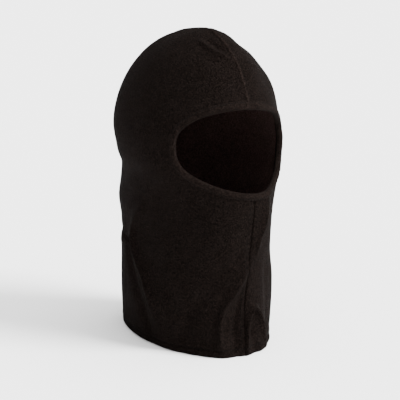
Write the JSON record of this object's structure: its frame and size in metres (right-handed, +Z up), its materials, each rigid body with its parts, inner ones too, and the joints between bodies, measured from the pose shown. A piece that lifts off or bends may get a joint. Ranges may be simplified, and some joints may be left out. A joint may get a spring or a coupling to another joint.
{
  "type": "balaclava",
  "caption": "Fleece ski hood that covers head, face sides and neck, with a bound oval face opening and seams down the front and over the crown.",
  "frame": {"origin": "middle of the bounding box at the level of the neck hem, which stands on the surface", "axes": "+Z up from the hem to the crown, -Y out of the face opening, +X the wearer's left"},
  "size_m": [0.1648, 0.2216, 0.3447],
  "materials": {
    "black_fleece": "matte brushed fleece",
    "binding_fleece": "matte stretched fleece, folded",
    "black_thread": "spun polyester thread",
    "elastic_tape": "woven elastic",
    "label_satin": "blank woven satin"
  },
  "bodies": {
    "hood": {"left_side_panel": "black_fleece", "right_side_panel": "black_fleece", "face_binding": "binding_fleece", "face_elastic": "elastic_tape", "crown_seam_overlock": "black_thread", "neck_seam_overlock": "black_thread", "neck_topstitch": "black_thread", "face_binding_stitch": "black_thread", "hem_stitch": "black_thread"},
    "label": {"care_label": "label_satin"}
  },
  "joints": [
    {"name": "label_flap", "type": "hinge", "parent": "hood", "child": "label", "pos_m": [0.0033, 0.09202, 0.048], "axis": [0, 0, -1], "range_deg": [0, 150]}
  ]
}
